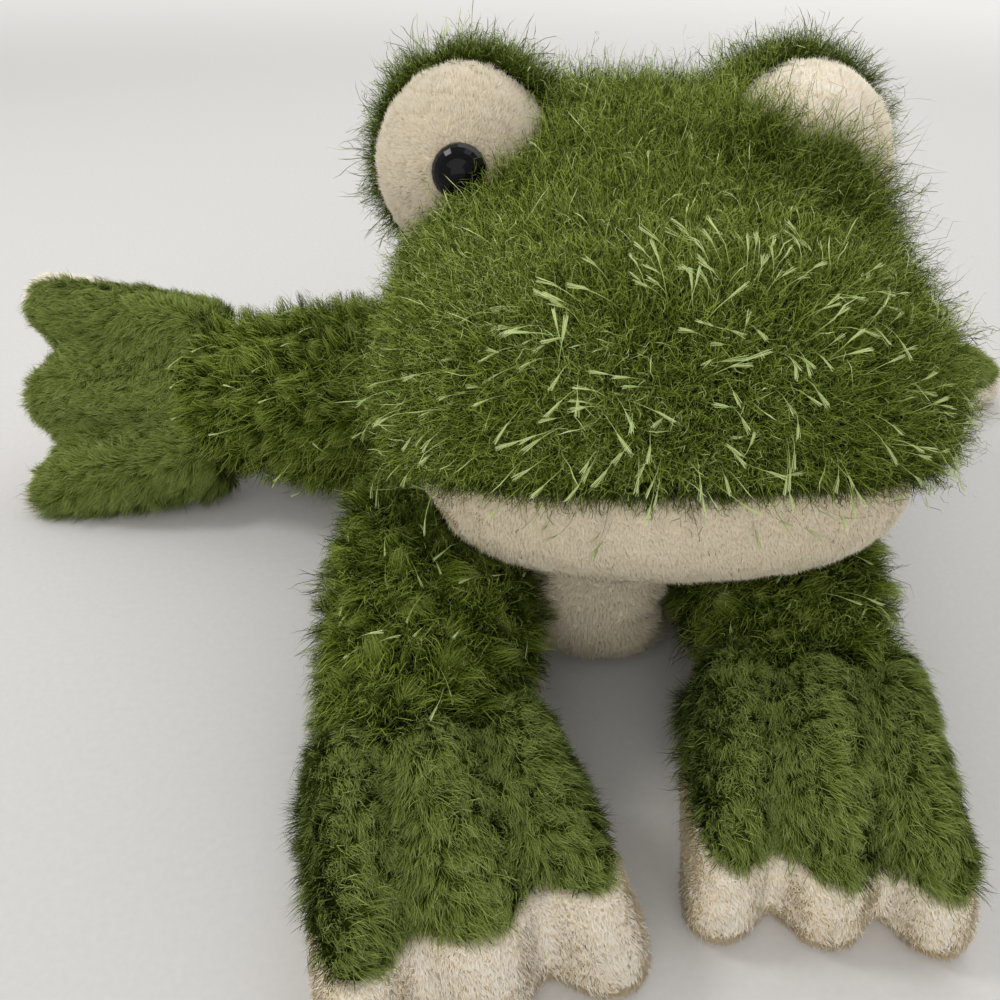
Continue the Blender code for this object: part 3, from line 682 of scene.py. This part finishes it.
skin_draw = {node: facts[4] for node, facts in SKINS.items()}
skins = {}
surfaces = {}
for node, (body, backing, voxel, rounds, draw_in) in SKINS.items():
    skin = make_skin(node + "_skin", node, body, backing, voxel, rounds, draw_in)
    skins[node] = skin
    surfaces[node] = open_faces(skin, node)

for node, body in (("torso_filling", "torso"), ("head_filling", "head")):
    filling = make_skin(node + "_fibre", node, body, filling_fibre, 0.0016, 6, 0.0034)

for side in ("right", "left"):
    for node, material in (("_eye_bead", bead_gloss), ("_eye_washer", washer_plastic)):
        item = frame["nodes"][side + node]
        item.data.materials.clear()
        item.data.materials.append(material)
        for face in item.data.polygons:
            face.use_smooth = True

# Directions in which the pile lies

head_tree = BVHTree.FromObject(skins["head_crown"], bpy.context.evaluated_depsgraph_get())
HEAD_FRAME = (
    Matrix.Translation(NECK)
    @ Matrix.Rotation(HEAD_TURN, 4, "Z")
    @ Matrix.Rotation(-HEAD_TILT, 4, "X")
)
HEAD_AXES = np.array(HEAD_FRAME.to_3x3())


def on_head(column, row):
    """The place on the crown that shows at a point of the picture, or the nearest to it."""
    eye, sight = picture_ray(column, row)
    place = head_tree.ray_cast(eye, sight)[0]
    if place is None:
        place = head_tree.find_nearest(eye + sight * (NECK - eye).length)[0]
    return np.array(place)


def in_head(points):
    """Places measured from the neck along the head's own axes."""
    return (points - np.array(NECK)) @ HEAD_AXES


def joint_place(name):
    """Where a joint turns."""
    return np.array(joints[name]["pos_m"])


def box_middle(node):
    """The middle of the box round a solid."""
    low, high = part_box(node)
    return np.array((low + high) / 2)


def near(place, reach):
    """A weight that falls off around a place."""
    return lambda points: np.exp(-((points - place) ** 2).sum(axis=1) / (2 * reach ** 2))


def wandering(out, points, normals, swirl, scale, phase):
    """Turns directions aside by turns, in a slow wander over the surface."""
    across = np.cross(normals, out)
    return out + across * (swirl * waves(points, scale, phase))[:, None]


def away_from(centre, calm, swirl, scale, phase):
    """Spreads from a centre, around which the strands still stand up."""
    def flow(points, normals):
        out = along_surface(points - centre, normals)
        distance = np.linalg.norm(out, axis=1, keepdims=True)
        out = out / np.maximum(distance, calm)
        return wandering(out, points, normals, swirl, scale, phase)
    return flow


def towards(direction, swirl, scale, phase):
    """Lies towards one direction."""
    direction = np.array(direction, float)

    def flow(points, normals):
        out = unit(along_surface(direction[None] + 0 * points, normals))
        return wandering(out, points, normals, swirl, scale, phase)
    return flow


def parted(direction, parting, width, swirl, scale, phase):
    """Lies towards a direction and turns aside in turn from the lines along it."""
    direction = np.array(direction, float)

    def flow(points, normals):
        out = unit(along_surface(direction[None] + 0 * points, normals))
        across = np.cross(normals, out)
        sideways = np.cross(UP, unit(direction[None]))
        lateral = np.sum((points - points.mean(axis=0)) * sideways, axis=1)
        aside = parting * np.sin(2 * np.pi * lateral / width + phase)
        return wandering(unit(out + across * aside[:, None]), points, normals, swirl, scale, phase)
    return flow


# Pile on the head

CROWN_WHORL = on_head(695, 380)

# Where the long pale strands stand: a point of the picture, how wide, and how thick
FLARED_PLACES = [
    (near(on_head(column, row), reach), share)
    for column, row, reach, share in (
        (580, 345, 0.007, 0.9), (540, 400, 0.007, 0.8), (630, 430, 0.006, 0.9),
        (760, 300, 0.008, 1.0), (810, 350, 0.009, 1.0), (770, 400, 0.008, 1.0),
        (860, 400, 0.010, 0.9), (430, 440, 0.010, 0.4), (720, 220, 0.009, 0.3),
    )
]


def flared_share(points, normals):
    """How thickly the long pale strands stand."""
    share = 0.045
    for weight, most in FLARED_PLACES:
        share = share + most * weight(points)
    return np.minimum(share, 1.0)


FRINGE_PLACES = ((775, 135), (835, 185), (848, 170))
EYE_FRINGES = [near(on_head(column, row), 0.008) for column, row in FRINGE_PLACES]


def eye_fringe(points):
    """Where the pile stands up and hides the left bead."""
    return np.max([fringe(points) for fringe in EYE_FRINGES], axis=0)


def above_mouth(points):
    """Height over the mouth seam along the head's own axis."""
    return in_head(points)[:, 2] - MOUTH_HEIGHT


def crown_length(roots, normals):
    """Shorter beside the mouth, longer on the forehead, the left side and before the left eye."""
    place = in_head(roots)
    lip = (0.60 + 0.40 * above_mouth(roots) / 0.012).clip(0.60, 1.0)
    forehead = ((place[:, 2] - 0.030) / 0.020).clip(0, 1)
    left = ((place[:, 0] - 0.022) / 0.020).clip(0, 1)
    return lip * (1 + 0.20 * forehead + 0.20 * left + 1.30 * eye_fringe(roots))


crown_spread = away_from(CROWN_WHORL, 0.030, 0.75, 0.014, 1.3)


def crown_flow(points, normals):
    """Spreads over the head, hangs at the lip and stands up before the left eye."""
    hang = 1 + 0.6 * np.exp(-(above_mouth(points) / 0.005) ** 2) - 0.8 * eye_fringe(points)
    return crown_spread(points, normals) * hang[:, None]


def crown_share(points, normals):
    """Fewer strands on the back of the head, over the neck, and more before the left eye."""
    return np.where(in_head(points)[:, 1] > 0.028, 0.6, 1.0) * (1 + 0.9 * eye_fringe(points))


crown_kinds = (
    changed(UNDER, grow=crown_length, weigh=crown_share),
    changed(FINE, grow=crown_length, weigh=crown_share),
    changed(FRIZZ, density=4.2, grow=crown_length, weigh=crown_share),
    changed(LOOSE, density=0.3, grow=crown_length, weigh=crown_share),
    changed(FLARED, density=0.12, weigh=flared_share),
    changed(HAIRS, density=0.025),
)
make_pile(
    "head_crown_pile", surfaces["head_crown"], "head", crown_kinds, crown_flow, green_shag, 11,
)
make_pile(
    "lower_jaw_pile", surfaces["lower_jaw"], "head", (VELOUR,),
    towards(HEAD_AXES @ np.array((0.25, -0.2, -1.0)), 0.5, 0.007, 0.4), cream_plush, 12,
)
# The two domes' pile takes different tones of one cream: painted light, with the left dome painted
# paler for the brighter light that falls on it.
DOME_PAINTED_LIGHT_TONES = {"right": (0.12, 0.42), "left": (0.66, 0.90)}  # the left dome's pile is paler
for number, (side, sign) in enumerate((("right", 1), ("left", -1))):
    dome = side + "_eye_dome"
    brow = side + "_brow"
    make_pile(
        dome + "_pile", surfaces[dome], "head", (changed(DOME, tones=DOME_PAINTED_LIGHT_TONES[side]),),
        away_from(box_middle(side + "_eye_bead"), 0.004, 0.35, 0.006, 2.0 + number),
        cream_plush, 21 + number,
    )
    # The brow's pile takes paler tones than the crown's: painted light, for the light from above
    # and behind that shines through its thin pile.
    brow_kinds = (
        changed(UNDER, density=6.0, length=0.0052, tones=(0.45, 0.79)),
        changed(FINE, density=3.0, length=0.0074, tones=(0.60, 0.88)),
        changed(FRIZZ, density=3.0, length=0.0076, tones=(0.70, 0.92)),
        changed(HAIRS, density=0.24, length=0.0100),
    )
    make_pile(
        brow + "_pile", surfaces[brow], "head", brow_kinds,
        towards(HEAD_AXES @ np.array((-0.1 * sign, -1.0, 0.2)), 0.6, 0.008, 3.0 + number),
        green_shag, 31 + number,
    )

# Pile on the torso

back_kinds = (
    changed(UNDER, density=6.0),
    changed(FINE, density=3.0),
    changed(FRIZZ, density=1.5),
    LOOSE,
    changed(FLARED, density=0.02),
)
make_pile(
    "torso_back_pile", surfaces["torso_back"], "torso", back_kinds,
    towards((0.0, 1.0, -0.3), 0.5, 0.012, 0.9), green_shag, 41,
)


def seen_share(points, normals):
    """Fewer strands on what lies face down."""
    return np.where(normals[:, 2] < -0.92, 0.25, 1.0)


# The belly's pile takes the darkest cream tones: painted shade, for the shadow that the head casts
# on the chest.
make_pile(
    "belly_panel_pile", surfaces["belly_panel"], "torso",
    (changed(
        VELOUR, density=9.0, width=0.00018, length=0.0016, weigh=seen_share, tones=(0.02, 0.30),
    ),),
    towards((0.0, 1.0, -0.4), 0.5, 0.008, 1.9), cream_plush, 42,
)

# Pile on the limbs

limb_kinds = (
    changed(UNDER, density=5.5, length=0.0048, weigh=seen_share, gather=0.30, tones=(0.02, 0.40)),
    changed(
        FINE, density=5.0, length=0.0086, weigh=seen_share, tuft=0.0044, gather=0.76,
        stray=0.35, sway=0.70, lean=(0.10, 0.62), lean_wander=0.22,
    ),
    changed(FRIZZ, density=0.9, length=0.0070, weigh=seen_share, gather=0.25),
    changed(
        LOOSE, density=0.8, length=0.0096, tuft=0.0040, gather=0.60, sway=0.55,
        lean=(0.15, 0.65),
    ),
    changed(FLARED, density=0.020, length=0.0090, spread=0.00028),
)
leg_kinds = [
    changed(kind, density=kind["density"] * 0.6, width=kind["width"] * 1.35)
    for kind in limb_kinds
]


def rim_length(roots, normals):
    """Longer low down where a paw's top turns to its seam, so that the pile hangs over it."""
    low = ((0.018 - roots[:, 2]) / 0.006).clip(0, 1)
    return 1 + 0.75 * low * ((0.45 - normals[:, 2]) / 0.45).clip(0, 1)


paw_kinds = (
    changed(SHORT, weigh=seen_share, grow=rim_length),
    changed(SHORT, density=0.9, length=0.0037, tones=(0.82, 0.90)),
)
for number, side in enumerate(("right", "left")):
    shoulder = joint_place(side + "_shoulder")
    wrist = joint_place(side + "_wrist")
    hip = joint_place(side + "_hip")
    ankle = joint_place(side + "_ankle")
    make_pile(
        side + "_arm_pile", surfaces[side + "_arm"], side + "_arm", limb_kinds,
        towards(wrist - shoulder, 0.7, 0.008, 4.0 + number), green_shag, 51 + number,
    )
    make_pile(
        side + "_leg_pile", surfaces[side + "_leg"], side + "_leg", leg_kinds,
        towards(ankle - hip, 0.7, 0.008, 6.0 + number), green_shag, 53 + number,
    )
    paws = (("_hand", "_palm", wrist, 61), ("_foot", "_sole", ankle, 65))
    for paw, palm, centre, seed in paws:
        tips = box_middle(side + paw) - centre
        body = side + paw
        make_pile(
            side + paw + "_pile", surfaces[side + paw], body, paw_kinds,
            parted(tips, 0.8, 0.016, 0.6, 0.006, 8.0 + number), green_plush, seed + number,
        )
        make_pile(
            side + palm + "_pile", surfaces[side + palm], body,
            (changed(
                VELOUR, density=14.5, width=0.00015, weigh=seen_share, tones=(0.70, 0.97),
            ),),
            towards(tips, 0.6, 0.006, 9.0 + number), cream_plush, seed + 2 + number,
        )

# Floor, light and world

FLOOR_REACH = 8.0
PALER_AROUND = (-0.12, -0.30, 0.0)
PALER_FROM = 0.80
PALER_TO = 1.35


def make_floor():
    """A plain sheet that is paler far off, where less lamp light falls."""
    mesh = bpy.data.meshes.new("floor")
    signs = ((-1, -1), (1, -1), (1, 1), (-1, 1))
    corners = [(x * FLOOR_REACH, y * FLOOR_REACH, 0) for x, y in signs]
    mesh.from_pydata(corners, [], [(0, 1, 2, 3)])
    floor = bpy.data.objects.new("floor", mesh)
    SCENE.collection.objects.link(floor)
    material, nodes, links, surface = new_material("floor_sheet", 0.75, specular=0.2)
    weave = nodes.new("ShaderNodeTexNoise")
    weave.inputs["Scale"].default_value = 700
    weave.inputs["Detail"].default_value = 3
    where = nodes.new("ShaderNodeTexCoord")
    links.new(where.outputs["Object"], weave.inputs["Vector"])
    band = ramp(nodes, ((0.3, shade(208, 206, 204)), (0.7, shade(212, 210, 208))))
    links.new(weave.outputs["Fac"], band.inputs["Fac"])
    distance = nodes.new("ShaderNodeVectorMath")
    distance.operation = "DISTANCE"
    distance.inputs[1].default_value = PALER_AROUND
    links.new(where.outputs["Object"], distance.inputs[0])
    far = nodes.new("ShaderNodeMapRange")
    far.interpolation_type = "SMOOTHSTEP"
    far.inputs["From Min"].default_value = PALER_FROM
    far.inputs["From Max"].default_value = PALER_TO
    links.new(distance.outputs["Value"], far.inputs["Value"])
    paler = nodes.new("ShaderNodeMix")
    paler.data_type = "RGBA"
    paler.inputs["B"].default_value = shade(250, 249, 247)
    links.new(far.outputs["Result"], paler.inputs["Factor"])
    links.new(band.outputs["Color"], paler.inputs["A"])
    links.new(paler.outputs["Result"], surface.inputs["Base Color"])
    mesh.materials.append(material)


def area_light(name, place, aim, size, power, colour):
    """A square lamp that faces a point."""
    data = bpy.data.lights.new(name, "AREA")
    data.size = size
    data.energy = power
    data.color = colour
    item = bpy.data.objects.new(name, data)
    SCENE.collection.objects.link(item)
    item.location = place
    item.rotation_euler = (Vector(aim) - Vector(place)).to_track_quat("-Z", "Y").to_euler()


def broad_light(name, direction, width, strength, colour):
    """Soft light from one side that is the same over the whole floor."""
    data = bpy.data.lights.new(name, "SUN")
    data.angle = width
    data.energy = strength
    data.color = colour
    item = bpy.data.objects.new(name, data)
    SCENE.collection.objects.link(item)
    item.location = direction
    item.rotation_euler = Vector(direction).to_track_quat("Z", "Y").to_euler()


def make_light():
    area_light(
        "window", place=(-0.46, 0.10, 0.60), aim=(0.0, -0.03, 0.05), size=0.16, power=1.3,
        colour=(1.0, 0.99, 0.97),
    )
    area_light(
        "sky", place=(0.35, 0.42, 0.85), aim=(0.0, 0.0, 0.05), size=0.80, power=3.0,
        colour=(1.0, 1.0, 0.99),
    )
    broad_light(
        "front", direction=(-0.25, -0.87, 0.51), width=radians(51), strength=0.72,
        colour=(1.0, 0.98, 0.95),
    )
    world = bpy.data.worlds.new("room")
    SCENE.world = world
    world.use_nodes = True
    ground = world.node_tree.nodes["Background"]
    ground.inputs["Color"].default_value = (0.98, 0.98, 0.98, 1)
    ground.inputs["Strength"].default_value = 0.66


make_floor()
make_light()
SCENE.view_settings.view_transform = "Standard"
